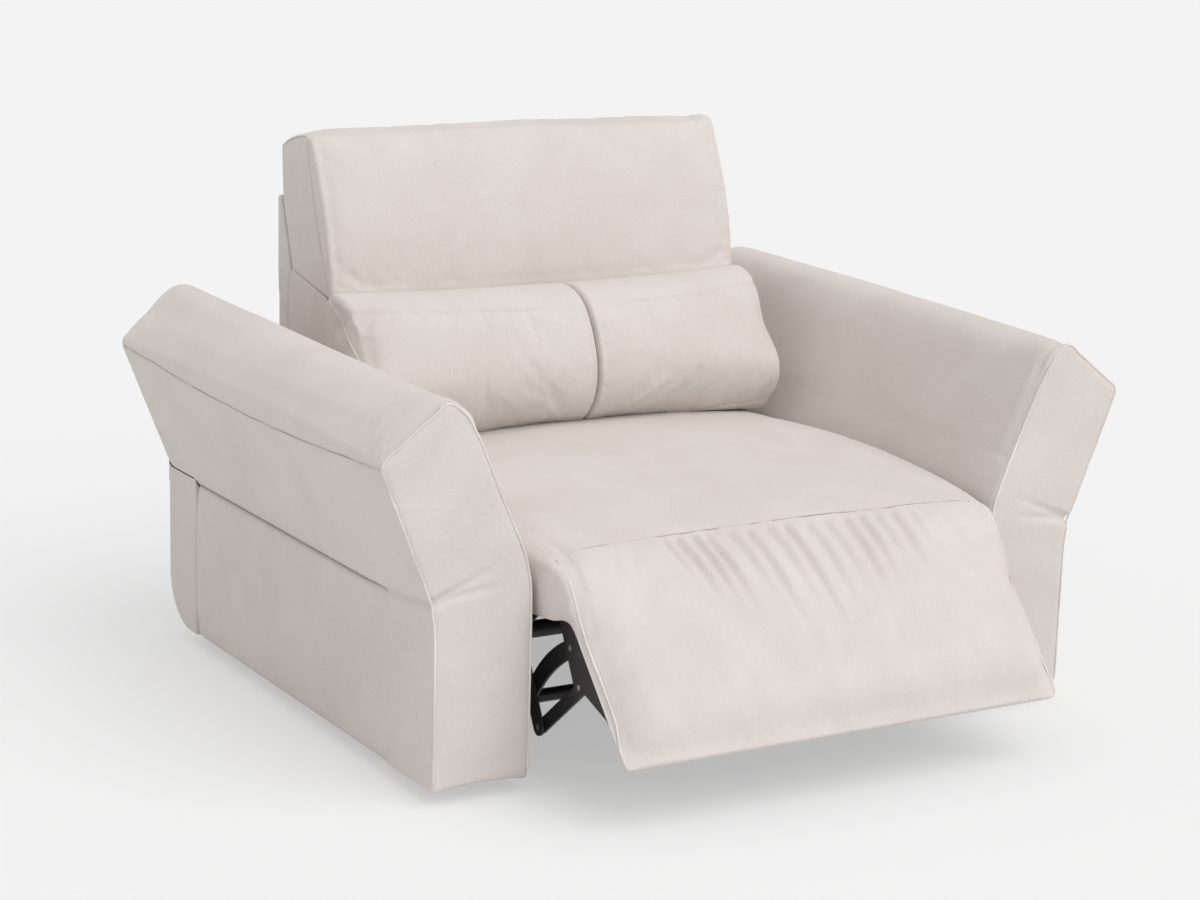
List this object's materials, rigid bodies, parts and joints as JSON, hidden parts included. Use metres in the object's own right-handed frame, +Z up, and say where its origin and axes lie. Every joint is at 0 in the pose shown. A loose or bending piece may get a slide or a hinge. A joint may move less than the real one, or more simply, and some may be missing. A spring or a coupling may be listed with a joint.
{
  "type": "modular reclining sofa",
  "caption": "Wide upholstered recliner unit with folding flared arm pads, lumbar cushions, tilting headrest, reclining back and a motor driven legrest on a steel linkage.",
  "frame": {"origin": "on the floor under the middle of the sofa", "axes": "+X to the right seen from the front, +Y to the rear, +Z up"},
  "size_m": [1.5142, 1.38, 0.9916],
  "materials": {
    "cream_fabric": "napped",
    "frame_board": "sawn",
    "dark_webbing": "woven",
    "black_steel": "satin",
    "bright_steel": "satin",
    "black_plastic": "matte",
    "grey_plastic": "matte"
  },
  "bodies": {
    "base": {"arm_frame_left": "frame_board", "arm_frame_right": "frame_board", "arm_front_pillar_left": "cream_fabric", "arm_front_pillar_right": "cream_fabric", "arm_rear_post_left": "cream_fabric", "arm_rear_post_right": "cream_fabric", "arm_side_panel_left": "cream_fabric", "arm_side_panel_right": "cream_fabric", "arm_inner_panel_left": "cream_fabric", "arm_inner_panel_right": "cream_fabric", "arm_hinge_brackets": "black_steel", "glides": "black_plastic", "arm_bolts": "bright_steel", "seat_side_rail_left": "frame_board", "seat_side_rail_right": "frame_board", "seat_cross_rails": "frame_board", "seat_webbing": "dark_webbing", "seat_cushion": "cream_fabric", "seat_cheek_left": "cream_fabric", "seat_cheek_right": "cream_fabric", "mechanism_plate_left": "black_steel", "mechanism_plate_right": "black_steel", "cross_tubes": "black_steel", "main_hinge_pins": "bright_steel", "legrest_motor": "black_plastic", "legrest_actuator_tube": "black_plastic", "back_motor": "black_plastic", "back_actuator_tube": "black_plastic", "rear_panel": "black_plastic", "control_box": "black_plastic"},
    "legrest": {"legrest_pad": "cream_fabric", "legrest_board": "frame_board", "legrest_bracket_left": "black_steel", "legrest_bracket_right": "black_steel", "legrest_link_pins": "bright_steel"},
    "crank": {"crank_left": "black_steel", "crank_right": "black_steel", "torque_tube": "black_steel", "crank_link_pins": "bright_steel"},
    "lower_link_left": {"lower_link_left": "black_steel"},
    "lower_link_right": {"lower_link_right": "black_steel"},
    "upper_link_left": {"upper_link_left": "black_steel"},
    "upper_link_right": {"upper_link_right": "black_steel"},
    "legrest_rod": {"legrest_actuator_rod": "bright_steel"},
    "back": {"back_frame": "frame_board", "back_shell": "cream_fabric", "back_side_panels": "cream_fabric", "back_webbing": "dark_webbing", "lumbar_cushion_left": "cream_fabric", "lumbar_cushion_right": "cream_fabric"},
    "back_rod": {"back_actuator_rod": "bright_steel"},
    "headrest": {"headrest_cushion": "cream_fabric", "headrest_frame": "frame_board"},
    "arm_left": {"arm_pad_left": "cream_fabric", "arm_core_left": "frame_board", "switch_plate": "black_plastic"},
    "arm_right": {"arm_pad_right": "cream_fabric", "arm_core_right": "frame_board"},
    "button_open": {"button_open": "grey_plastic"},
    "button_close": {"button_close": "grey_plastic"}
  },
  "joints": [
    {"name": "legrest_fold", "type": "hinge", "parent": "base", "child": "legrest", "pos_m": [0, -0.443, 0.353], "axis": [-1, 0, 0], "range_deg": [-43, 47]},
    {"name": "crank_turn", "type": "hinge", "parent": "base", "child": "crank", "pos_m": [0, -0.312, 0.245], "axis": [-1, 0, 0], "range_deg": [-43, 47]},
    {"name": "legrest_rod_slide", "type": "slide", "parent": "base", "child": "legrest_rod", "axis": [0, -1, 0], "range_m": [-0.0525, 0.0575]},
    {"name": "back_recline", "type": "hinge", "parent": "base", "child": "back", "pos_m": [0, 0.42, 0.3], "axis": [-1, 0, 0], "range_deg": [0, 25]},
    {"name": "back_rod_slide", "type": "slide", "parent": "base", "child": "back_rod", "axis": [0, -1, 0], "range_m": [0, 0.0525]},
    {"name": "headrest_tilt", "type": "hinge", "parent": "back", "child": "headrest", "pos_m": [0, 0.408, 0.7], "axis": [1, 0, 0], "range_deg": [0, 35]},
    {"name": "arm_fold_left", "type": "hinge", "parent": "base", "child": "arm_left", "pos_m": [-0.5715, 0, 0.384], "axis": [0, 1, 0], "range_deg": [0, 22]},
    {"name": "arm_fold_right", "type": "hinge", "parent": "base", "child": "arm_right", "pos_m": [0.5715, 0, 0.384], "axis": [0, -1, 0], "range_deg": [0, 22]},
    {"name": "press_open", "type": "slide", "parent": "arm_left", "child": "button_open", "axis": [-0.9272, 0, -0.3746], "range_m": [0, 0.002], "stiffness_N_per_m": 400},
    {"name": "press_close", "type": "slide", "parent": "arm_left", "child": "button_close", "axis": [-0.9272, 0, -0.3746], "range_m": [0, 0.002], "stiffness_N_per_m": 400},
    {"name": "lower_link_left_turn", "type": "hinge", "parent": "legrest", "child": "lower_link_left", "pos_m": [-0.4245, -0.52, 0.206], "axis": [-1, 0, 0], "range_deg": [-47, 43]},
    {"name": "upper_link_left_turn", "type": "hinge", "parent": "legrest", "child": "upper_link_left", "pos_m": [-0.4245, -0.4892, 0.2648], "axis": [-1, 0, 0], "range_deg": [-47, 43]},
    {"name": "lower_link_right_turn", "type": "hinge", "parent": "legrest", "child": "lower_link_right", "pos_m": [0.4245, -0.52, 0.206], "axis": [-1, 0, 0], "range_deg": [-47, 43]},
    {"name": "upper_link_right_turn", "type": "hinge", "parent": "legrest", "child": "upper_link_right", "pos_m": [0.4245, -0.4892, 0.2648], "axis": [-1, 0, 0], "range_deg": [-47, 43]}
  ],
  "couplings": [
    {"joint": "crank_turn", "follows": "legrest_fold", "ratio": 1},
    {"joint": "legrest_rod_slide", "follows": "legrest_fold", "m_per_rad": 0.0689},
    {"joint": "back_rod_slide", "follows": "back_recline", "m_per_rad": 0.1189},
    {"joint": "lower_link_left_turn", "follows": "legrest_fold", "ratio": -1},
    {"joint": "upper_link_left_turn", "follows": "legrest_fold", "ratio": -1},
    {"joint": "lower_link_right_turn", "follows": "legrest_fold", "ratio": -1},
    {"joint": "upper_link_right_turn", "follows": "legrest_fold", "ratio": -1}
  ]
}
